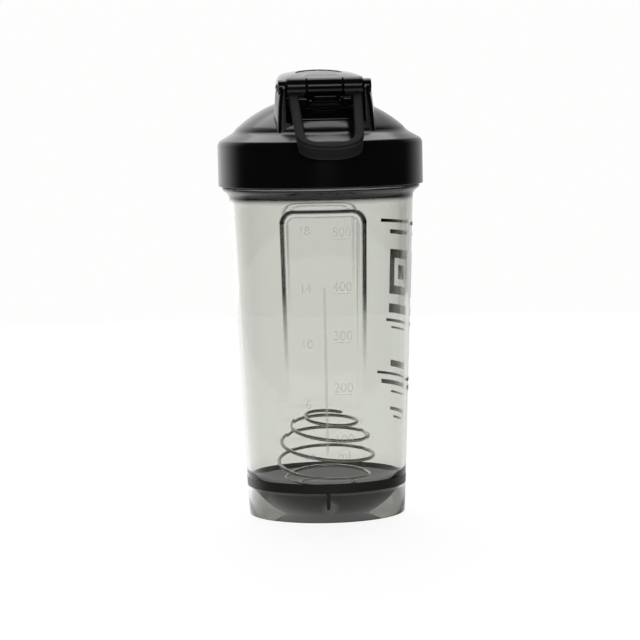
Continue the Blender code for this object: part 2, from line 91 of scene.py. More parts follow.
# %% Skins, turned shapes, prisms and bars
def skin(rings, cyclic=False):
    """A closed mesh through rings of points. A ring of one point closes an end."""
    bm = bmesh.new()
    loops = [[bm.verts.new(p) for p in ring] for ring in rings]
    pairs = list(zip(loops, loops[1:]))
    if cyclic:
        pairs.append((loops[-1], loops[0]))
    for near, far in pairs:
        count = max(len(near), len(far))
        for i in range(count):
            j = (i + 1) % count
            corners = [near[i % len(near)], near[j % len(near)], far[j % len(far)], far[i % len(far)]]
            bm.faces.new(dict.fromkeys(corners))
    bmesh.ops.recalc_face_normals(bm, faces=bm.faces)
    return bm


def circle(radius, z, segments):
    """Points of a level circle, or the one point on the axis."""
    if radius == 0:
        return [Vector((0, 0, z))]
    steps = [2 * pi * i / segments for i in range(segments)]
    return [Vector((radius * cos(a), radius * sin(a), z)) for a in steps]


def rounded(profile, radius, steps=4):
    """Replace each corner of a (radius, z) line with a small arc, under half of either side long."""
    points = [Vector(p) for p in profile]
    result = [points[0]]
    for before, corner, after in zip(points, points[1:], points[2:]):
        reach = min(radius, 0.45 * (corner - before).length, 0.45 * (after - corner).length)
        start = corner + (before - corner).normalized() * reach
        end = corner + (after - corner).normalized() * reach
        for i in range(steps + 1):
            t = i / steps
            result.append((1 - t) ** 2 * start + 2 * t * (1 - t) * corner + t * t * end)
    return [tuple(p) for p in result + [points[-1]]]


def turned(profile, segments=160, cyclic=False, centre=(0, 0, 0)):
    """Turn (radius, z) points about an upright axis."""
    bm = skin([circle(r, z, segments) for r, z in profile], cyclic)
    bmesh.ops.translate(bm, verts=bm.verts, vec=centre)
    return bm


def prism(outline, axis, start, end):
    """Push a closed outline along X or Y."""
    if axis == "X":
        ends = [[Vector((d, a, b)) for a, b in outline] for d in (start, end)]
    else:
        ends = [[Vector((a, d, b)) for a, b in outline] for d in (start, end)]
    bm = bmesh.new()
    loops = [[bm.verts.new(p) for p in end] for end in ends]
    for i, corner in enumerate(loops[0]):
        j = (i + 1) % len(outline)
        bm.faces.new((corner, loops[0][j], loops[1][j], loops[1][i]))
    for loop in loops:
        bm.faces.new(loop)
    bmesh.ops.recalc_face_normals(bm, faces=bm.faces)
    return bm


def rod(radius, start, end, segments=64):
    """A bar on the hinge line."""
    steps = [2 * pi * i / segments for i in range(segments)]
    outline = [(HINGE_Y + radius * cos(a), HINGE_Z + radius * sin(a)) for a in steps]
    return prism(outline, "X", start, end)


def progress(value, start, end):
    """How far a value has come from start to end, kept between 0 and 1."""
    return min(1, max(0, (value - start) / (end - start)))


# %% [markdown]
# A mesh becomes a piece when it has a name, a finish and a body to ride on. The sharp angle decides
# which edges stay crisp: everything flatter than it is shaded as one smooth surface.


# %% Make a piece
def placed(name, bm):
    """Turn a mesh in millimetres about the cup's axis into an object in the model's own frame."""
    bmesh.ops.translate(bm, verts=bm.verts, vec=AXIS)
    bmesh.ops.scale(bm, verts=bm.verts, vec=(MM, MM, MM))
    mesh = bpy.data.meshes.new(name)
    bm.to_mesh(mesh)
    bm.free()
    made = bpy.data.objects.new(name, mesh)
    bpy.context.scene.collection.objects.link(made)
    return made


def piece(name, bm, look, body, sharp=40, replaced=()):
    """Make a visible object that rides on a body."""
    made = placed(name, bm)
    mesh = made.data
    mesh.shade_smooth()
    mesh.set_sharp_from_angle(angle=radians(sharp))
    mesh.materials.append(look)
    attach(made, body)
    if replaced:
        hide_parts(*replaced)
    print(f"{name}: {len(mesh.polygons)} faces")
    return made


# %% [markdown]
# A moulded part has no sharp edges, because molten plastic can't fill them. Instead of a bevel on
# every edge, the joined solid is rebuilt from a fine grid of cells and then smoothed a little. That
# rounds all its edges alike, also the ones where two shapes meet.


# %% Join, cut and round a moulded part
def moulded(base, steps, cell, passes):
    """Apply (operation, mesh) steps to a base mesh, then round every edge."""
    objects = []
    for bm in [base, *[tool for _, tool in steps]]:
        mesh = bpy.data.meshes.new("tool")
        bm.to_mesh(mesh)
        bm.free()
        objects.append(bpy.data.objects.new("tool", mesh))
        bpy.context.scene.collection.objects.link(objects[-1])
    target = objects[0]
    for (operation, _), tool in zip(steps, objects[1:]):
        join = target.modifiers.new("join", "BOOLEAN")
        join.operation = operation
        join.object = tool
    grid = target.modifiers.new("grid", "REMESH")
    grid.mode = "VOXEL"
    grid.voxel_size = cell
    relax = target.modifiers.new("relax", "SMOOTH")
    relax.iterations = passes
    relax.factor = 0.5
    graph = bpy.context.evaluated_depsgraph_get()
    result = bmesh.new()
    result.from_mesh(target.evaluated_get(graph).to_mesh())
    for made in objects:
        bpy.data.objects.remove(made)
    return result


# %% [markdown]
# ## Node arithmetic
#
# A finish is mostly sums on numbers that change over the surface. This class wraps a node's output,
# so that `1 - mask` or `noise * 0.1` adds the Math nodes by itself. Every other node is made by its
# `node` method.


# %% A socket that can be used in sums
class Shade:
    """An output of a node tree."""

    def __init__(self, tree, socket=None):
        self.tree = tree
        self.socket = socket

    def node(self, kind, settings=None, sockets=None, output=0):
        """Add a node, set it up, feed its sockets and wrap one of its outputs."""
        made = self.tree.nodes.new("ShaderNode" + kind)
        for name, value in (settings or {}).items():
            if name != "stops":
                setattr(made, name, value)
                continue
            ramp = made.color_ramp.elements
            while len(ramp) < len(value):
                ramp.new(0.5)
            for element, (place, colour) in zip(ramp, value):
                element.position = place
                element.color = colour
        for name, value in (sockets or {}).items():
            if isinstance(value, Shade):
                self.tree.links.new(value.socket, made.inputs[name])
            else:
                made.inputs[name].default_value = value
        return Shade(self.tree, made.outputs[output])

    def sum(self, operation, first, second=0.0):
        return self.node("Math", {"operation": operation}, {0: first, 1: second})

    def blend(self, first, second):
        """This mask chooses between two colours, the Mix node's sockets 6 and 7."""
        return self.node("Mix", {"data_type": "RGBA"}, {0: self, 6: first, 7: second}, 2)

    def __add__(self, other):
        return self.sum("ADD", self, other)

    def __sub__(self, other):
        return self.sum("SUBTRACT", self, other)

    def __rsub__(self, other):
        return self.sum("SUBTRACT", other, self)

    def __mul__(self, other):
        return self.sum("MULTIPLY", self, other)

    __radd__ = __add__
    __rmul__ = __mul__


COARSER = 30


def grain(shade, per_mm, detail=3.0):
    """Noise with so many bumps to the millimetre, fixed to the part."""
    place = shade.node("TexCoord", output="Object")
    return shade.node("TexNoise", None, {"Vector": place, "Scale": per_mm / MM, "Detail": detail})


def finish(name, colour, roughness, vary=0.05, bump=0.0, per_mm=1.5, shade_paint=None, mottle=0.15, **fixed):
    """A Principled material whose roughness and surface carry a fine grain."""
    look = bpy.data.materials.new(name)
    look.use_nodes = True
    shader = look.node_tree.nodes["Principled BSDF"]
    for socket, value in fixed.items():
        shader.inputs[socket.replace("_", " ")].default_value = value
    start = Shade(look.node_tree)
    fine = grain(start, per_mm)
    broad = grain(start, per_mm / COARSER, 2.0)
    links = look.node_tree.links
    links.new((roughness + (fine - 0.5) * vary + (broad - 0.5) * vary).socket, shader.inputs["Roughness"])
    lighter = [min(1.0, c * (1 + mottle)) for c in colour]
    shown = broad.blend((*colour, 1), (*lighter, 1))
    # The optional hook paints shade into the base colour.
    if shade_paint:
        shown = shade_paint(start, shown)
    links.new(shown.socket, shader.inputs["Base Color"])
    if bump:
        rough = start.node("Bump", None, {"Strength": bump, "Distance": 0.1 * MM, "Height": fine})
        links.new(rough.socket, shader.inputs["Normal"])
    return look


# %% [markdown]
# ## Finishes
#
# The lid is plain black plastic: the ring has a fine satin face, the flip cap and the tower are
# glossier, and the carry loop has a matt grain, all but its satin knuckles. The pin is painted nearly
# black as painted shade, so the gaps between the knuckles stay dark. The cup is clear grey plastic.
# Painted shade darkens its colour towards the foot, on the bead in the lid's shadow and in dark lines
# at the edges of the pressed windows, where light bends and travels a long way through the plastic.
# This painted shade is stored on the mesh as a number from 0 to 1 and read back here. The cup's floor
# is a rim of painted shade round a grey dish. The dish has a weak glow of painted light, because the
# lamp doesn't reach it well through the clear wall.


# %% The finishes
# The colour that painted shade darkens the clear plastic towards.
PAINTED_SHADE_COLOUR = (0.002, 0.002, 0.002, 1)
CLEAR_COLOUR = (0.79, 0.80, 0.765)
GLASSY = {"Transmission_Weight": 1.0, "IOR": 1.47}


def paint_clear_shade(start, shown):
    """Paint shade into the clear plastic's colour where the mesh says so."""
    dark = start.node("Attribute", {"attribute_name": "depth"}, output="Fac")
    return dark.blend(shown, PAINTED_SHADE_COLOUR)


SATIN = finish("satin_black", (0.0018, 0.0018, 0.0018), 0.2, 0.05, 0.06, 2.5)
GLOSS = finish("gloss_black", (0.0015, 0.0015, 0.0015), 0.13, 0.03, 0.02, 1.0)
MATT = finish("matt_black", (0.010, 0.010, 0.010), 0.6, 0.08, 0.2, 4.0, Specular_IOR_Level=0.35)
GREY = finish("grey_inset", (0.10, 0.10, 0.096), 0.3, 0.05, 0.05, 3.0)
SILICONE = finish("grey_silicone", (0.20, 0.20, 0.19), 0.6, 0.08, 0.10, 2.0)
STEEL = finish("spring_wire", (0.36, 0.35, 0.32), 0.22, 0.12, 0.1, 1.2, Metallic=1.0)
# Painted shade: the pin is nearly black, so the gaps between the knuckles stay dark.
DARK_PIN = finish("pin_painted_shade", (0.02, 0.02, 0.02), 0.35, 0.1, 0.1, 2.0, Metallic=1.0)
CLEAR = finish("clear_grey", CLEAR_COLOUR, 0.02, 0.01, 0, 0.2, paint_clear_shade, 0.02, **GLASSY)
# Painted shade: the thick rim of the floor and the ribs under it are coloured nearly black.
FLOOR_SHADE = finish("floor_painted_shade", (0.012, 0.0123, 0.0115), 0.38, 0.04, 0.0, 0.5)
# Painted light: the grey dish is pale and glows weakly, standing in for light that reaches it too weakly
# through the wall.
BASIN = finish("grey_basin", (0.2, 0.208, 0.194), 0.4, 0.04, 0.0, 0.5, Emission_Strength=0.11)
FROST = finish("frosted_marks", (0.70, 0.71, 0.68), 0.6, 0.05, 0.1, 4.0, Alpha=0.22)
INK = finish("dark_ink", (0.02, 0.02, 0.02), 0.55, 0.1, 0.05, 3.0)
print("finishes:", len(bpy.data.materials))

# %% [markdown]
# ## The cup
#
# The wall tapers from a 71 mm foot to an 83 mm shoulder, and two grip windows are pressed into it,
# front and back. How far they are pressed in fades to nothing near the foot. Each ring of points is
# pulled in where it crosses a window, and the points stand close together at the window's edges.

# %% Cup sizes
FOOT_R = 35.7
SHOULDER_R = 41.7
SHOULDER_Z = 141.0
WALL = 1.75
NECK_R = 41.9
MOUTH_R = 40.1
RIM_Z = 167.2
BASIN_R = 33.2
SKIRT_R = 34.1
FLOOR_TOP = 17.6
FLOOR_UNDER = 13.4
DISH_TOP = 4.0
DISH_UNDER = 1.4
DISH_STEPS = 24
DISH_CURVE = 3.2
BEAD_R = 45.0
BEAD = [(41.75, 142.5), (NECK_R, 145.2), (42.9, 146.7)]
BEAD += [(BEAD_R, 148.4), (BEAD_R, 149.5), (NECK_R, 149.6)]
MOUTH = [(NECK_R, 152), (NECK_R, RIM_Z), (MOUTH_R, RIM_Z), (MOUTH_R, 160)]
FOOT_EDGE = [(SKIRT_R + 0.1, 0.5), (SKIRT_R + 0.35, 0.1), (SKIRT_R + 0.6, 0.0)]
FOOT_EDGE += [(FOOT_R - 0.6, 0.0), (FOOT_R - 0.2, 0.1), (FOOT_R, 0.45)]
FOOT_ROWS = (4, 8, 11, 13.0, FLOOR_UNDER, 15.5, FLOOR_TOP, 18.0)
FINE_ROWS_FROM = 132
CUP_TURN = radians(-4.6)
WINDOW_HALF = radians(23.5)
WINDOW_TOP = 140.2
WINDOW_BOTTOM = 30.0
WINDOW_BEVEL = 3.2
WINDOW_CORNER = 3.5
FAR_CORNER = 7.0
FAR_LIFT = 1.2
WINDOW_DEPTH = 1.6
# The window's edge lines, the foot, the skirt and the bead below are painted shade in the cup's colour.
OUTER_LINE = 0.8 * WINDOW_BEVEL
OUTER_LINE_HALF = 0.65
TOP_LINE_HALF = 0.9
FAR_LINE_HALF = 0.5
FAR_LINE_SHARE = 0.6
OUTER_LINE_FADE = (66, 102)
INNER_LINE = 0.05
INNER_LINE_HALF = 0.35
INNER_LINE_SHARE = 0.5
INNER_LINE_FADE = (96, 126)
LINES_LOW = 40
LINES_HIGH = 142.3
FOOT_SHADE = 0.3
SKIRT_SHADE = 0.12
BEAD_SHADE = 0.85
BEAD_FADE = (142.6, 144.1)
BEAD_END = 149.8


def wall_radius(z):
    """Outer radius of the tapered wall."""
    return FOOT_R + (SHOULDER_R - FOOT_R) * z / SHOULDER_Z


def window_side(angle, z):
    """Distance out from the flat of the grip window, negative inside it."""
    away = abs((angle + pi) % pi - pi / 2)
    corner, lift = (WINDOW_CORNER, 0) if sin(angle) < 0 else (FAR_CORNER, FAR_LIFT)
    side = (away - WINDOW_HALF) * wall_radius(z) + corner
    top = z - (WINDOW_TOP + lift - WINDOW_BEVEL) + corner
    return sqrt(max(side, 0) ** 2 + max(top, 0) ** 2) + min(max(side, top), 0) - corner


def dent(angle, z):
    """How deep the window is at this place on the wall. It fades out downwards."""
    if not WINDOW_BOTTOM < z < WINDOW_TOP + 2:
        return 0.0
    slope = min(1, max(0, 1 - window_side(angle, z) / WINDOW_BEVEL))
    return WINDOW_DEPTH * progress(z, WINDOW_BOTTOM, WINDOW_TOP) * slope * slope * (3 - 2 * slope)


def edge_shade(angle, z):
    """Painted shade of the dark lines at the window's outer and inner edge, which fade out downwards."""
    near = sin(angle) < 0
    strong = 1.0 if near else FAR_LINE_SHARE
    half = TOP_LINE_HALF if z > WINDOW_TOP - 6 else OUTER_LINE_HALF
    away = (window_side(angle, z) - OUTER_LINE) / (half if near else FAR_LINE_HALF)
    outer_line = progress(z, *OUTER_LINE_FADE) * strong * min(1, 1.5 * max(0, 1 - away * away))
    away = (window_side(angle, z) - INNER_LINE) / INNER_LINE_HALF
    return outer_line + INNER_LINE_SHARE * progress(z, *INNER_LINE_FADE) * max(0, 1 - away * away)


# %% Build the cup
def floor_line(rim, middle, radius):
    """A dished line from the floor's rim in to the axis."""
    shares = [1 - (i / DISH_STEPS) for i in range(DISH_STEPS + 1)]
    return [(f * radius, middle + (rim - middle) * f**DISH_CURVE) for f in shares]


def steps_between(start, end, step):
    """Evenly spaced numbers from start to end."""
    count = max(1, round(abs(end - start) / step))
    return [start + (end - start) * i / count for i in range(count + 1)]


def cup_columns():
    """Angles round the cup, close together at the window edges."""
    edge = WINDOW_HALF + WINDOW_BEVEL / SHOULDER_R
    quarter = steps_between(0, WINDOW_HALF - 0.03, 0.035)[:-1]
    quarter += steps_between(WINDOW_HALF - 0.03, edge + 0.02, 0.0075)
    quarter += steps_between(edge + 0.02, pi / 2, 0.035)[1:-1]
    half = [-a for a in quarter[:0:-1]] + quarter
    front = [-pi / 2 + a for a in half] + [0.0]
    return front + [a + pi for a in front]


def cup_ring(radius, z, angles):
    """A ring of the cup, pushed in at the windows, or the one point on the axis."""
    if radius == 0:
        return [Vector((0, 0, z))]
    places = [(radius - dent(angle, z), angle + CUP_TURN) for angle in angles]
    return [Vector((reach * cos(turn), reach * sin(turn), z)) for reach, turn in places]


def painted_shade_at(x, y, z):
    """How much shade is painted into the clear plastic here: towards the foot, along the window's edges and
    on the bead.
    """
    angle = Vector((x, y)).angle_signed(Vector((1, 0)), 0) - CUP_TURN
    foot = FOOT_SHADE * progress(z, FLOOR_UNDER, DISH_UNDER) + (SKIRT_SHADE if z < FLOOR_UNDER else 0)
    line = edge_shade(angle, z) if LINES_LOW < z < LINES_HIGH else 0
    bead = BEAD_SHADE * progress(z, *BEAD_FADE) if z < BEAD_END else 0
    return min(1, foot + line + bead)


wall_rows = steps_between(FLOOR_TOP + 4, FINE_ROWS_FROM, 3.2)[:-1]
wall_rows += steps_between(FINE_ROWS_FROM, WINDOW_TOP + 1.8, 0.4)
outer = FOOT_EDGE + [(wall_radius(z), z) for z in (*FOOT_ROWS, *wall_rows)]
outer += rounded(BEAD, 0.6)
outer += rounded(MOUTH, 0.5)
inner = [(MOUTH_R, 150.0), (MOUTH_R, 146.0)]
inner += [(wall_radius(z) - WALL, z) for z in reversed(wall_rows)]
inner += floor_line(FLOOR_TOP, DISH_TOP, wall_radius(FLOOR_TOP) - WALL)
under = floor_line(FLOOR_UNDER, DISH_UNDER, SKIRT_R)[::-1]
columns = cup_columns()
rings = [cup_ring(radius, z, columns) for radius, z in under + outer + inner]
cup = piece("clear_cup", skin(rings), CLEAR, "cup_body", 40, ("cup",))
floor_looks = (FLOOR_SHADE, BASIN)
for look in floor_looks:
    cup.data.materials.append(look)
# Each point of the cup stores how much shade is painted into its colour, from 0 to 1.
depth = cup.data.attributes.new("depth", "FLOAT", "POINT")
centre = AXIS * MM
for vertex, shade in zip(cup.data.vertices, depth.data):
    shade.value = painted_shade_at(*(vertex.co - centre) / MM)
# The floor's thick rim gets painted shade, and the dish inside it a faint glow of painted light.
for face in cup.data.polygons:
    middle = (face.center - centre) / MM
    reach = Vector((middle.x, middle.y)).length
    band = FLOOR_UNDER - 0.1 < middle.z < FLOOR_TOP + 0.1
    dished = reach < SKIRT_R - 0.05 and middle.z < FLOOR_TOP
    if band or dished:
        in_basin = face.normal.z > 0.5 and reach < BASIN_R
        face.material_index = 1 + floor_looks.index(BASIN if in_basin else FLOOR_SHADE)
print("cup columns and rows:", len(columns), len(rings))

# %% [markdown]
# A thin rib under the floor, front and back, is where the plastic entered the mould and the floor
# was stiffened. The neck's two-start thread only shows once the lid is off.


# %% Floor ribs and neck thread
RIB_OUTLINE = [(25, 6.2), (35.1, 6.0), (35.4, 14.5), (30, 10.4)]
RIB_HALF = 0.75
THREAD_TURN = radians(250)
THREAD_LEAD = 8.0
THREAD_BITE = 0.35
THREAD_ROOT_HALF = 0.95
THREAD_CREST_HALF = 0.45
NECK_THREAD_R = 43.6
NECK_THREAD_Z = 154.0


def thread_ridge(root, crest, start, bottom, count=60):
    """One start of the thread, with pointed ends."""
    ridge = []
    for i in range(count + 1):
        turn = start + THREAD_TURN * i / count
        middle = bottom + THREAD_LEAD * (turn - start) / (2 * pi)
        reach = root + (crest - root) * min(1, min(i, count - i) / 8 + 0.2)
        section = [(root, -THREAD_ROOT_HALF), (reach, -THREAD_CREST_HALF)]
        section += [(reach, THREAD_CREST_HALF), (root, THREAD_ROOT_HALF)]
        ridge.append([Vector((r * cos(turn), r * sin(turn), middle + z)) for r, z in section])
    ends = [[sum(ring, Vector()) / 4] for ring in (ridge[0], ridge[-1])]
    return skin([ends[0], *ridge, ends[1]])


def spun(bm, angle):
    """Turn a mesh about the upright axis."""
    bmesh.ops.rotate(bm, verts=bm.verts, matrix=Matrix.Rotation(angle, 3, "Z"))
    return bm


for i, side in enumerate((-1, 1)):
    rib = prism([(side * y, z) for y, z in RIB_OUTLINE], "X", -RIB_HALF, RIB_HALF)
    piece(f"floor_rib_{i}", spun(rib, CUP_TURN), FLOOR_SHADE, "cup_body")
    ridge = thread_ridge(NECK_R - THREAD_BITE, NECK_THREAD_R, pi * i, NECK_THREAD_Z)
    piece(f"neck_thread_{i}", spun(ridge, CUP_TURN), CLEAR, "cup_body")

# %% [markdown]
# ## Marks on the cup
#
# The volume scale is moulded into the near window: numbers in millilitres to the right of a thin
# upright rib, and in fluid ounces to the left. Text curves become meshes, and each point is then
# wrapped round the wall by turning its sideways place into an angle.


# %% Wrap flat marks round the wall
FRONT = -pi / 2
MARK_RADIUS = 40
MARK_LIFT = 0.02
ML_ANGLE = FRONT + 8.2 / MARK_RADIUS
ML_SIZE = 6.1
ML_MARKS = {"500": 130.1, "400": 105.9, "300": 84.1, "200": 60.8, "100": 37.6, "ml": 30.2}
TICK = (7.6, 0.28)
TICK_DROP = 2.9
OZ_ANGLE = FRONT - 8.6 / MARK_RADIUS
OZ_SIZE = 5.6
OZ_MARKS = {"18": 131.0, "14": 105.3, "10": 80.6, "6": 53.6, "oz": 30.4}
SCALE_RIB = [(-0.6, -0.1), (0.6, -0.1), (0.45, 0.25), (-0.45, 0.25)]
SCALE_RIB_LOW = 31
SCALE_RIB_HIGH = 106


def wrapped(bm, angle, z, lift):
    """Lay a flat mesh (x across, y up, z out) on the outside of the wall."""
    for vertex in bm.verts:
        across, up, out = vertex.co
        height = z + up
        turn = angle + across / wall_radius(height)
        reach = wall_radius(height) - dent(turn, height) + lift + out
        vertex.co = (reach * cos(turn + CUP_TURN), reach * sin(turn + CUP_TURN), height)
    bmesh.ops.recalc_face_normals(bm, faces=bm.faces)
    return bm


def lettering(text, size):
    """A generic number as a thin raised mesh, centred on its own middle."""
    curve = bpy.data.curves.new("mark", "FONT")
    curve.body = text
    curve.size = size
    curve.align_x = "CENTER"
    curve.align_y = "CENTER"
    curve.extrude = 0.09
    holder = bpy.data.objects.new("mark", curve)
    bpy.context.scene.collection.objects.link(holder)
    graph = bpy.context.evaluated_depsgraph_get()
    bm = bmesh.new()
    bm.from_mesh(holder.evaluated_get(graph).to_mesh())
    bpy.data.objects.remove(holder)
    bmesh.ops.remove_doubles(bm, verts=bm.verts, dist=0.001)
    return bm


def strip(width, height, thick=0.18, pieces=12):
    """A thin bar made of short lengths, so that it can bend."""
    across = steps_between(-width / 2, width / 2, max(width / pieces, 0.5))
    up, out = height / 2, thick / 2
    rows = [[Vector((x, y, z)) for y, z in [(-up, -out), (up, -out), (up, out), (-up, out)]] for x in across]
    ends = [[Vector((x, 0, 0))] for x in (across[0], across[-1])]
    return skin([ends[0], *rows, ends[1]])


for millilitres, z in ML_MARKS.items():
    mark = wrapped(lettering(millilitres, ML_SIZE), ML_ANGLE, z, MARK_LIFT)
    piece(f"scale_ml_{millilitres}", mark, FROST, "cup_body")
    if millilitres != "ml":
        tick = wrapped(strip(*TICK), ML_ANGLE, z - TICK_DROP, MARK_LIFT)
        piece(f"scale_tick_{millilitres}", tick, FROST, "cup_body")
for ounces, z in OZ_MARKS.items():
    mark = wrapped(lettering(ounces, OZ_SIZE), OZ_ANGLE, z, MARK_LIFT)
    piece(f"scale_oz_{ounces}", mark, FROST, "cup_body")
rib_rows = steps_between(SCALE_RIB_LOW, SCALE_RIB_HIGH, 2.5)
rows = [[Vector((x, z, out)) for x, out in SCALE_RIB] for z in rib_rows]
rib = skin([[Vector((0, rib_rows[0], 0))], *rows, [Vector((0, rib_rows[-1], 0))]])
piece("scale_rib", wrapped(rib, FRONT, 0, 0.0), FROST, "cup_body")

# %% [markdown]
# A plain printed panel sits on the far side of the cup: bars of different lengths and a square
# frame round a core. It is only a pattern of simple shapes.


# %% Printed panel
PANEL = radians(17)
PRINT_THICK = 0.1
PRINT_LIFT = 0.06
# Height on the cup, width and height of each bar.
BARS = [(131.5, 40, 1.5), (126.5, 26, 2.0), (91.0, 25, 4.2), (85.4, 29, 1.3), (82.2, 20, 0.9)]
BARS += [(65.5, 20, 3.0), (60.6, 40, 1.2), (56.6, 34, 2.0), (52.4, 18, 1.0), (44.5, 19, 1.6), (41.0, 12, 1.1)]
# Place across and up from the frame's middle, width and height of its four sides and its core.
FRAME_Z = 108
FRAME = [(0, 8.4, 25, 4.0), (0, -8.4, 25, 4.0), (10.4, 0, 4.2, 13), (-10.4, 0, 4.2, 13), (0, 0, 9.0, 6.5)]


def print_bar(name, angle, z, width, height):
    """One bar of the print."""
    bar = wrapped(strip(width, height, PRINT_THICK, 24), angle, z, PRINT_LIFT)
    piece(name, bar, INK, "cup_body")


for i, (z, width, height) in enumerate(BARS):
    print_bar(f"print_bar_{i:02d}", PANEL, z, width, height)
for i, (across, up, width, height) in enumerate(FRAME):
    print_bar(f"print_block_{i}", PANEL + across / MARK_RADIUS, FRAME_Z + up, width, height)

# %% [markdown]
# ## The screw lid
#
# The lid is one moulding. Its ring, shoulder and dome are turned about the axis. The tower that
# carries the hinge and the spout grows out of the dome, with a pocket at the back for the carry
# loop. They are made as two meshes with the same cuts, so that the dome keeps its even surface.

# %% Ring, shoulder and dome
RING_R = 46.5
RING_INNER = 44.7
RING_BOTTOM = 149.95
RING_SHARP = 35
CEILING = 169.6
DOME_R = 56.4
DOME_CENTRE = 134.2
DOME_EDGE = 38.0
LID_WALL = 2.0
LID_OUTSIDE = [(38.9, 174.6), (40.1, 173.6), (45.7, 170.4), (RING_R, 168.8), (RING_R, 151.0)]
LID_OUTSIDE += [(RING_R, RING_BOTTOM), (RING_INNER, RING_BOTTOM), (RING_INNER, 155)]
LID_INSIDE = [(RING_INNER, 156), (RING_INNER, CEILING), (39.5, CEILING), (39.5, 164.5), (DOME_EDGE, 164.5)]
TOWER_HALF = 22.2
TOWER_TAPER = 0.09
TOWER_BACK = -25.0
TOWER_NOSE = 38.0
TOWER_FLARE = 1.1
SHELF_Z = 179.2
SMILE_Z = 183.3
SMILE_R = 36.0
EAR_INNER = 17.25
EAR_R = 3.5
BARREL_R = 4.5
BORE_R = 1.9
BORE_HALF = 30
SPOUT_Y = 20.0
SPOUT_AXIS = (0, SPOUT_Y, 0)
SPOUT_BORE = 9.0
SPOUT_ROOT_R = 11.0
SPOUT_LIP_R = 10.5
SPOUT_TOP = 197.0
REAR = HINGE_Y - EAR_R
TURNING_GAP = 0.5
LEDGE_END = -26.5
POCKET_END = -23.5
UNDER_FROM = 249
UNDER_STEP = 9.25
DECK_SLOPE = 0.12
BELOW = 160
ABOVE = 210
BEYOND = 60


def dome_z(radius, inset=0):
    """Height of the dome's outside, or of a surface set in from it."""
    return DOME_CENTRE + sqrt((DOME_R - inset) ** 2 - radius**2)


def deck_z(y):
    """The sloping line where the flip cap meets the tower."""
    return HINGE_Z - DECK_SLOPE * (y - HINGE_Y)


def hinge_cuts():
    """Room for the hinge barrel, which curves up to its own height, and the pocket below it."""
    steps = [radians(UNDER_FROM + UNDER_STEP * i) for i in range(13)]
    clear = BARREL_R + TURNING_GAP
    under = [(HINGE_Y + clear * cos(a), HINGE_Z + clear * sin(a)) for a in steps]
    barrel = [(-BEYOND, SHELF_Z), (LEDGE_END, SHELF_Z), *under, (under[-1][0], ABOVE), (-BEYOND, ABOVE)]
    across = [EAR_INNER * (i / 16 - 1) for i in range(33)]
    smile = [(x, SMILE_Z + x * x / (2 * SMILE_R)) for x in across]
    pocket = [(EAR_INNER, SHELF_Z), (-EAR_INNER, SHELF_Z), *smile]
    return [prism(barrel, "X", -EAR_INNER, EAR_INNER), prism(pocket, "Y", -BEYOND, POCKET_END)]


def spout_hole(segments=96):
    """The bore of the drinking spout."""
    bore = [(0, BELOW), (SPOUT_BORE, BELOW), (SPOUT_BORE, ABOVE), (0, ABOVE)]
    return turned(bore, segments, centre=SPOUT_AXIS)


def dome_line(count, inset=0):
    """Points from the axis out along the dome, or along a surface set in from it."""
    return [(DOME_EDGE * i / count, dome_z(DOME_EDGE * i / count, inset)) for i in range(count + 1)]


dome = dome_line(30)
ring_profile = dome + rounded([dome[-1], *LID_OUTSIDE], 0.7, 5)[1:]
ring_profile += rounded(LID_INSIDE, 0.3)
ring_profile += dome_line(20, LID_WALL)[::-1]
ring = turned(ring_profile, 192)
lid = piece("lid_ring", ring, SATIN, "lid_body", RING_SHARP, ("lid_shell",))


def cut(target, name, bm):
    """Cut a hidden tool out of a piece, for good."""
    tool = placed(name, bm)
    modifier = target.modifiers.new(name, "BOOLEAN")
    modifier.operation = "DIFFERENCE"
    modifier.object = tool
    bpy.context.view_layer.update()
    graph = bpy.context.evaluated_depsgraph_get()
    done = bpy.data.meshes.new_from_object(target.evaluated_get(graph))
    target.modifiers.clear()
    target.data = done
    bpy.data.objects.remove(tool)


for i, tool in enumerate([*hinge_cuts(), spout_hole()]):
    cut(lid, f"lid_cut_{i}", tool)
lid.data.set_sharp_from_angle(angle=radians(RING_SHARP))
print("lid ring faces after cuts:", len(lid.data.polygons))


# %% Tower, ears and spout
MIDDLE_Y = 5
SHARP_CORNER = [(0.4, 0), (0.12, 0.12), (0, 0.4)]
WIDE_CORNER = [(2.6, 0), (1.75, 0.45), (1.3, 1.3), (0.9, 3.0), (0.5, 5.0), (0.2, 7.0)]
PINCH = 0.065
PINCH_FROM = -18
PINCH_TO = -24
REAR_LEAN = 0.27
TOWER_LOW = 174.0
HOLLOW_LOW = 165.0
HOLLOW_REAR = -16.0
EAR_OUTER = 20.8
SHELF = [(-32.5, 177.2), (-29.0, 190.0), (-16.5, 190.0), (-16.5, 177.2)]
SHELF_HALF = 19.0
WEB = [(-26.0, 185.5), (-27.7, 185.6), (-28.0, 186.0), (-28.0, 188.7), (-25.6, 188.9), (-25.6, 186.0)]
WEB_HALF = 7.6
DETENT = [(-26.0, 187.3), (-29.2, 187.3), (-29.4, 190.4), (-28.4, 190.5), (-27.9, 188.8), (-26.0, 188.7)]
DETENT_HALF = 5.3
LID_THREAD_R = 42.9
LID_THREAD_Z = 152.0


def plan(inset, rear, count=40):
    """Outline of the tower and the flip cap from above, with a straight rear edge."""
    length = TOWER_NOSE - TOWER_BACK - inset
    points = []
    for i in range(count):
        turn = pi / 2 * i / (count - 1)
        along = length * sqrt(sin(turn))
        half = (TOWER_HALF - TOWER_TAPER * along) * max(cos(turn), 0) ** 0.9 - inset * cos(turn)
        points.append((half if i < count - 1 else 0, TOWER_BACK + along))
    points = [p for p in points if p[1] > rear + 2]
    half = TOWER_HALF - TOWER_TAPER * max(0, rear - TOWER_BACK) - inset
    curve = SHARP_CORNER
    if rear < TOWER_BACK:
        curve = WIDE_CORNER
        points = [p for p in points if p[1] > rear + 8]
    points = [(half - pull, rear + along) for pull, along in curve] + points
    points.insert(0, (half * 0.45, rear))
    return points + [(-x, y) for x, y in reversed(points[:-1])]


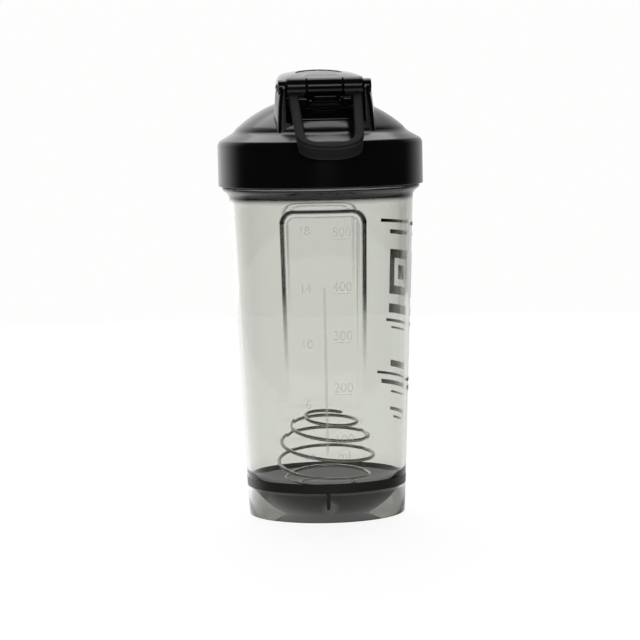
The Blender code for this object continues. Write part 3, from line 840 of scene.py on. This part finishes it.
def tower_block(inset, bottom, top_drop, rear):
    """The tower's outside, or the hollow inside it."""
    rows = [[Vector((0, MIDDLE_Y, bottom))]]
    for share in steps_between(0, 1, 0.1):
        ring = []
        for x, y in plan(inset, rear):
            z = bottom + (deck_z(y) - top_drop - bottom) * share
            pinch = PINCH * share**4 * progress(y, PINCH_FROM, PINCH_TO)
            flare = 1 + TOWER_FLARE / TOWER_HALF * (1 - share) ** 1.5 - pinch
            lean = REAR_LEAN * (HINGE_Z - z) * max(0, y / rear) ** 2
            ring.append(Vector((x * flare, y - lean, z)))
        rows.append(ring)
    rows.append([Vector((0, MIDDLE_Y, deck_z(MIDDLE_Y) - top_drop))])
    return skin(rows)


spout_root = deck_z(SPOUT_Y) - 1
spout = [(0, spout_root), (SPOUT_ROOT_R, spout_root), (SPOUT_LIP_R, SPOUT_TOP), (0, SPOUT_TOP)]
steps = [("UNION", prism(SHELF, "X", -SHELF_HALF, SHELF_HALF))]
steps += [("UNION", rod(EAR_R, *sorted((side * (EAR_INNER - 1), side * EAR_OUTER)))) for side in (-1, 1)]
steps += [("DIFFERENCE", tool) for tool in hinge_cuts()]
steps += [
    ("DIFFERENCE", tower_block(LID_WALL, HOLLOW_LOW, LID_WALL, HOLLOW_REAR)),
    ("DIFFERENCE", rod(BORE_R, -BORE_HALF, BORE_HALF)),
    ("UNION", turned(spout, 96, centre=SPOUT_AXIS)),
    ("DIFFERENCE", spout_hole()),
    ("UNION", prism(WEB, "X", -WEB_HALF, WEB_HALF)),
    ("UNION", prism(DETENT, "X", -DETENT_HALF, DETENT_HALF)),
]
tower = moulded(tower_block(0, TOWER_LOW, 0, REAR), steps, cell=0.32, passes=5)
piece("lid_tower", tower, GLOSS, "lid_body", 80)
for i in range(2):
    ridge = thread_ridge(RING_INNER + THREAD_BITE, LID_THREAD_R, pi * i, LID_THREAD_Z)
    piece(f"lid_thread_{i}", ridge, SATIN, "lid_body")

# %% [markdown]
# ## Seal, pin, plug and disc
#
# These four are simple turned parts with rounded corners. The disc is a separate insert that
# follows the crown of the flip cap.


# %% Small turned parts
SEAL = [(41, 167.5), (43.1, 167.5), (43.1, 169.3), (39.9, 169.3), (39.9, 167.5), (41, 167.5)]
PIN_R = 1.6
PLUG_TOP = SPOUT_TOP - 0.3
PLUG_LOW = 193.9
PLUG = [(0, PLUG_TOP), (8.6, PLUG_TOP), (8.3, 194.6), (7.8, PLUG_LOW), (0, PLUG_LOW)]
CROWN_TOP = 202.0
CROWN_Y = 12
CROWN_BACK = 333
CROWN_FRONT = 135
CROWN_ACROSS = 157
DISC_R = 10.0
DISC_Y = -1.0
DISC_UNDER = 1.2
DISC_OVER = 0.5


def crown_z(x, y):
    """Height of the flip cap's crown, which falls faster in front of its highest place."""
    span = CROWN_BACK if y < CROWN_Y else CROWN_FRONT
    return CROWN_TOP - (y - CROWN_Y) ** 2 / span - x * x / CROWN_ACROSS


seal = turned(rounded(SEAL, 0.5)[:-1], 160, cyclic=True)
piece("soft_seal", seal, SILICONE, "seal_body", 40, ("lid_gasket",))
half_pin = pin_high.x / MM
pin = turned(rounded([(0, -half_pin), (PIN_R, -half_pin), (PIN_R, half_pin), (0, half_pin)], 0.45), 40)
on_hinge = Matrix.Translation((0, HINGE_Y, HINGE_Z)) @ Matrix.Rotation(pi / 2, 4, "Y")
bmesh.ops.transform(pin, matrix=on_hinge, verts=pin.verts)
piece("cross_pin", pin, DARK_PIN, "lid_body", 40, ("hinge_pin",))
plug = turned(rounded(PLUG, 0.4), 96, centre=SPOUT_AXIS)
piece("soft_plug", plug, SILICONE, "cap_body", 60, ("spout_plug",))


def crown_disc(radius, under, over, segments=96):
    """A round plate that follows the crown, from under it to over it, both as drops below the crown."""
    edge = rounded([(0, under), (radius, under), (radius, over), (0, over)], 0.25, 5)
    edge[1:1] = [(radius * s, under) for s in (0.3, 0.6, 0.85)]
    edge[-1:-1] = [(radius * s, over) for s in (0.85, 0.6, 0.3)]
    rows = []
    for reach, drop in edge:
        points = circle(reach, 0, segments)
        rows.append([Vector((p.x, p.y + DISC_Y, crown_z(p.x, p.y + DISC_Y) - drop)) for p in points])
    return skin(rows)


disc = crown_disc(DISC_R, DISC_UNDER, DISC_OVER)
piece("grey_disc", disc, GREY, "cap_body", 60, ("cap_disc",))

# %% [markdown]
# ## Flip cap
#
# The cap is a crowned shell that ends in a tapered nose with a thumb tab. Rings follow its lower
# edge, climb the side and then shrink across the crown. The inside is the same, set in by the
# wall's thickness.


# %% Build the flip cap
CAP_REAR = -19.6
CAP_GAP = 0.35
CAP_WALL = 2.0
CAP_EDGE = [(0.25, None), (0.25, 2.4), (0.38, 1.7), (0.62, 1.1), (1.0, 0.6), (1.6, 0.25)]
CAP_EDGE_INSIDE = [(0.25 + CAP_WALL, None), (0.25 + CAP_WALL, 5.0)]
CROWN_INSET = 2.8
CROWN_INSET_INSIDE = 4.2
KNUCKLE_HALF = 8.0
KNUCKLE_ROOT = [(HINGE_Y, 195.4), (-18.4, 195.4), (-18.4, 198.9), (CAP_REAR, 198.75)]
KNUCKLE_ROOT.append((HINGE_Y, HINGE_Z + BARREL_R - 0.02))
THUMB_TAB = [(36.5, 189.2), (41.6, 190.4), (41.9, 191.2), (41.2, 191.9), (36.5, 192.2)]
THUMB_HALF = 8
STEM_R = 4.5
DISC_ROOM = 0.3


def cap_ring(inset, drop=None):
    """A ring of the cap, on its lower edge or at a drop below the crown."""
    ring = []
    for x, y in plan(inset, CAP_REAR + inset):
        edge = deck_z(y) + CAP_GAP
        ring.append(Vector((x, y, edge if drop is None else max(crown_z(x, y) - drop, edge + 0.2))))
    return ring


def crown_rings(inset, drop):
    """Rings from the crown's edge in to its middle."""
    edge = cap_ring(inset, drop)
    rows = []
    for share in steps_between(1, 0.06, 0.1):
        ring = [Vector((p.x * share, MIDDLE_Y + (p.y - MIDDLE_Y) * share, 0)) for p in edge]
        rows.append([Vector((p.x, p.y, crown_z(p.x, p.y) - drop)) for p in ring])
    return rows + [[Vector((0, MIDDLE_Y, crown_z(0, MIDDLE_Y) - drop))]]


cap_out = [cap_ring(*place) for place in CAP_EDGE] + crown_rings(CROWN_INSET, 0)
cap_in = [cap_ring(*place) for place in CAP_EDGE_INSIDE] + crown_rings(CROWN_INSET_INSIDE, CAP_WALL)
stem_top = crown_z(0, SPOUT_Y) - 1
stem = [(0, SPOUT_TOP), (STEM_R, SPOUT_TOP), (STEM_R, stem_top), (0, stem_top)]
steps = [
    ("UNION", rod(BARREL_R, -KNUCKLE_HALF, KNUCKLE_HALF)),
    ("UNION", prism(KNUCKLE_ROOT, "X", -KNUCKLE_HALF, KNUCKLE_HALF)),
    ("UNION", prism(THUMB_TAB, "X", -THUMB_HALF, THUMB_HALF)),
    ("UNION", turned(stem, 48, centre=SPOUT_AXIS)),
    ("DIFFERENCE", rod(BORE_R, -BORE_HALF, BORE_HALF)),
    ("DIFFERENCE", crown_disc(DISC_R + DISC_ROOM, DISC_UNDER + DISC_ROOM, -3.0)),
]
cap = moulded(skin(cap_in[::-1] + cap_out), steps, cell=0.3, passes=7)
piece("cap_cover", cap, GLOSS, "cap_body", 80, ("flip_cap",))

# %% [markdown]
# ## Carry loop
#
# The loop hangs from the same pin, on two barrels of its own outside the cap's. Its flat bail
# narrows downwards and ends in a lip that is turned down for a finger. Its barrels are satin like
# the ring, and the rest is matt.


# %% Build the carry loop
LOOP_LEAN = radians(44)
PLATE = 1.2
PLATE_EDGE = 0.6
LOOP_BARREL = (8.3, 16.95)
# Across and down from the hinge: the edge's top, its shoulder, its corner's pull and its bottom.
OUTER_EDGE = ((16.7, 2.5), (15.0, 30.0), (10.5, 34.4), 37.8)
INNER_EDGE = ((12.2, 2.5), (10.9, 28.8), (8.0, 32.6), 33.8)
FILLET = [(12.8, 7.0), (12.8, 3.0), (8.6, 3.0), (8.8, 4.4), (10.6, 4.9), (11.8, 5.8)]
LIP_FROM = 31.5
LIP_THICK = 1.8
LIP_RISE = 0.5
LIP_DROP = 4.5


def bail_edge(top, shoulder, corner, bottom):
    """The bail's edge from one barrel round to the other, which mirrors its first half."""
    points = [Vector((*top, 0)), Vector((*shoulder, 0))]
    straight = [points[0].lerp(points[1], i / 8) for i in range(8)]
    first = Vector((shoulder[0] + (shoulder[0] - top[0]) * 0.25, corner[1], 0))
    second = Vector((corner[0], bottom, 0))
    half = straight + list(interpolate_bezier(points[1], first, second, Vector((0, bottom, 0)), 24))
    return half + [Vector((-p.x, p.y, 0)) for p in reversed(half[:-1])]


def bail_point(x, along, out):
    """A place on the hanging bail: across, down from the hinge, and out of its plane."""
    y = HINGE_Y - sin(LOOP_LEAN) * along - cos(LOOP_LEAN) * out
    return Vector((x, y, HINGE_Z - cos(LOOP_LEAN) * along + sin(LOOP_LEAN) * out))


def closed_row(rows):
    """Skin a row of sections and close both ends at their middles."""
    ends = [[sum(row, Vector()) / len(row)] for row in (rows[0], rows[-1])]
    return skin([ends[0], *rows, ends[1]])


loop_out = bail_edge(*OUTER_EDGE)
loop_in = bail_edge(*INNER_EDGE)
rows = []
for a, b in zip(loop_out, loop_in):
    edge = (b - a).normalized() * PLATE_EDGE
    flat = PLATE - PLATE_EDGE
    section = [(a + edge, -PLATE), (a, -flat), (a, flat), (a + edge, PLATE)]
    section += [(b - edge, PLATE), (b, flat), (b, -flat), (b - edge, -PLATE)]
    rows.append([bail_point(p.x, p.y, out) for p, out in section])
bail = closed_row(rows)
rows = []
lip = [p for p in loop_out if p.y > LIP_FROM]
for i, p in enumerate(lip):
    middle = bail_point(p.x, p.y, 0)
    inward = Vector((p.x * -0.12, LIP_THICK, 0))
    upper = Vector((0, 0, LIP_RISE))
    lower = Vector((0, 0, -LIP_DROP * (1 - 0.5 * max(0, 1 - min(i, len(lip) - 1 - i) / 3))))
    rows.append([middle + upper, middle + lower, middle + lower + inward, middle + upper + inward])
steps = [("UNION", closed_row(rows))]
for side in (-1, 1):
    steps.append(("UNION", rod(BARREL_R, *sorted(side * x for x in LOOP_BARREL))))
    rows = [[bail_point(side * x, v, out) for x, v in FILLET] for out in (0.1 - PLATE, PLATE - 0.1)]
    steps.append(("UNION", closed_row(rows)))
steps.append(("DIFFERENCE", rod(BORE_R, -BORE_HALF, BORE_HALF)))
loop = moulded(bail, steps, cell=0.24, passes=4)
finger_loop = piece("finger_loop", loop, MATT, "loop_body", 80, ("carry_loop",))
finger_loop.data.materials.append(SATIN)
for face in finger_loop.data.polygons:
    middle = face.center / MM - AXIS
    if Vector((middle.y - HINGE_Y, middle.z - HINGE_Z)).length < BARREL_R + 0.05:
        face.material_index = 1

# %% [markdown]
# ## Whisk ball
#
# One length of spring wire is wound into an open ball. It lies in the dished floor, a little
# tilted. A round section is swept along the line, and the ends are rounded off.


# %% Wind the wire
WIRE_R = 0.8
BALL_R = 21.7
BALL_Z = 25.2
FIRST_TURN = -0.36
LAST_TURN = 5.12
COUNT = 620
SIDES = 14
TILT = Matrix.Rotation(radians(3.4), 3, "Y") @ Matrix.Rotation(radians(7.6), 3, "X")
BALL_TURN = radians(-5.6)


def coil_point(turn):
    """The wire's line, with turns counted from the left. Each turn lies further down the ball."""
    down = max(turn, 0)
    slope = radians(28.2 + 18.6 * down + 2.1 * down**2 - 0.2 * down**3)
    angle = pi + 2 * pi * turn
    radius = BALL_R * sin(slope)
    ball = Vector((radius * cos(angle), radius * sin(angle), BALL_R * cos(slope)))
    return TILT @ ball + Vector((0, 0, BALL_Z))


path = [coil_point(FIRST_TURN + (LAST_TURN - FIRST_TURN) * i / COUNT) for i in range(COUNT + 1)]
rows = []
for i, point in enumerate(path):
    ahead = (path[min(i + 1, COUNT)] - path[max(i - 1, 0)]).normalized()
    across = ahead.cross(point - Vector((0, 0, BALL_Z))).normalized()
    over = across.cross(ahead)
    radius = WIRE_R * min(1, 0.45 + 0.28 * min(i, COUNT - i))
    around = [2 * pi * k / SIDES for k in range(SIDES)]
    rows.append([point + radius * (across * cos(a) + over * sin(a)) for a in around])
wire = spun(skin([[path[0]], *rows, [path[-1]]]), BALL_TURN)
piece("wire_whisk", wire, STEEL, "whisk_body", 70, ("whisk_ball",))

# %% [markdown]
# ## Studio
#
# The bottle stands on a pale floor that glows and that no surface mirrors. A wide soft lamp hangs
# above. The room looks white to the camera. What the surfaces mirror is another room: bright behind
# and overhead, dark on the camera's side but for a narrow strip of light that faces the bottle, and
# paler again below. Seen through the cup, the room's two sides are somewhat darker, which draws the
# cup's edges.

# %% Floor, lamp, room and camera
floor_bm = bmesh.new()
bmesh.ops.create_circle(floor_bm, cap_ends=True, radius=1.0, segments=128)
floor_mesh = bpy.data.meshes.new("studio_floor")
floor_bm.to_mesh(floor_mesh)
floor_bm.free()
studio_floor = bpy.data.objects.new("studio_floor", floor_mesh)
studio_floor.location = (0, 0, -0.0002)
studio_floor.visible_glossy = False
bpy.context.scene.collection.objects.link(studio_floor)
GLOW = {"Emission_Color": (1, 1, 1, 1), "Emission_Strength": 0.913}
PALE = finish("pale_floor", (0.06, 0.06, 0.0597), 0.8, 0.05, 0.0, 0.5, **GLOW)
floor_mesh.materials.append(PALE)

lamp = bpy.data.lights.new("soft_lamp", "AREA")
lamp.shape = "RECTANGLE"
lamp.size = 1.1
lamp.size_y = 1.0
lamp.energy = 6
lamp_object = bpy.data.objects.new("soft_lamp", lamp)
lamp_object.location = (0, 0.5, 1.15)
lamp_object.rotation_euler.x = radians(-26)
bpy.context.scene.collection.objects.link(lamp_object)

room = bpy.data.worlds.new("studio_room")
room.use_nodes = True
bpy.context.scene.world = room
start = Shade(room.node_tree)
place = start.node("TexCoord", output="Generated")
ahead = start.node("SeparateXYZ", None, {0: place}, 1)
above = start.node("SeparateXYZ", None, {0: place}, 2)
aside = start.node("SeparateXYZ", None, {0: place}, 0)


def eased(value, start, end, low, high):
    """A smooth way from low to high while a value goes from start to end."""
    smooth = {"interpolation_type": "SMOOTHSTEP"}
    return value.node("MapRange", smooth, {0: value, 1: start, 2: end, 3: low, 4: high})


behind = eased(aside, -0.2, 0.55, 1.0, 0.5) * eased(ahead, 0.25, 0.9, 0.0, 1.3)
over = eased(above * 0.8 + ahead * 0.6, 0.66, 1.0, 0.0, 1.0)
facing = eased(above * 0.31 - ahead * 0.95, 0.97, 0.998, 0.0, 2.4)
lower = eased(above, -0.25, -0.8, 0.004, 0.8)
lit = start.sum("MAXIMUM", start.sum("MAXIMUM", behind, over), start.sum("MAXIMUM", facing, lower))
glossy = start.node("LightPath", output="Glossy Depth")
diffuse = start.node("LightPath", output="Diffuse Depth")
bounced = start.sum("MINIMUM", glossy + diffuse, 1.0)
through = start.sum("MINIMUM", start.node("LightPath", output="Transmission Depth"), 1.0)
sides = eased(aside, -0.15, -0.5, 0.0, 0.3) + eased(aside, 0.14, 0.32, 0.0, 0.55)
seen = 0.985 - through * sides
strength = seen + bounced * (lit - seen)
room.node_tree.links.new(strength.socket, room.node_tree.nodes["Background"].inputs["Strength"])
room.node_tree.nodes["Background"].inputs["Color"].default_value = (1.0, 1.0, 0.995, 1)

CAMERA_PLACE = (-0.12172, -1.22278, 0.20082)
CAMERA_DOWN = 5.234
CAMERA_TURN = -5.6
CAMERA_ROLL = -1.18
camera_data = bpy.data.cameras.new("camera")
camera_data.lens = 152.32
camera_data.sensor_width = 36
camera = bpy.data.objects.new("camera", camera_data)
camera.location = CAMERA_PLACE
aim = Euler((radians(90 - CAMERA_DOWN), 0, radians(CAMERA_TURN))).to_matrix()
camera.rotation_euler = (aim @ Matrix.Rotation(radians(CAMERA_ROLL), 3, "Z")).to_euler()
bpy.context.scene.collection.objects.link(camera)
bpy.context.scene.camera = camera
bpy.context.scene.view_settings.view_transform = "Standard"

# %% [markdown]
# The last cell brings the scene up to date.

# %% Finish
bpy.context.view_layer.update()
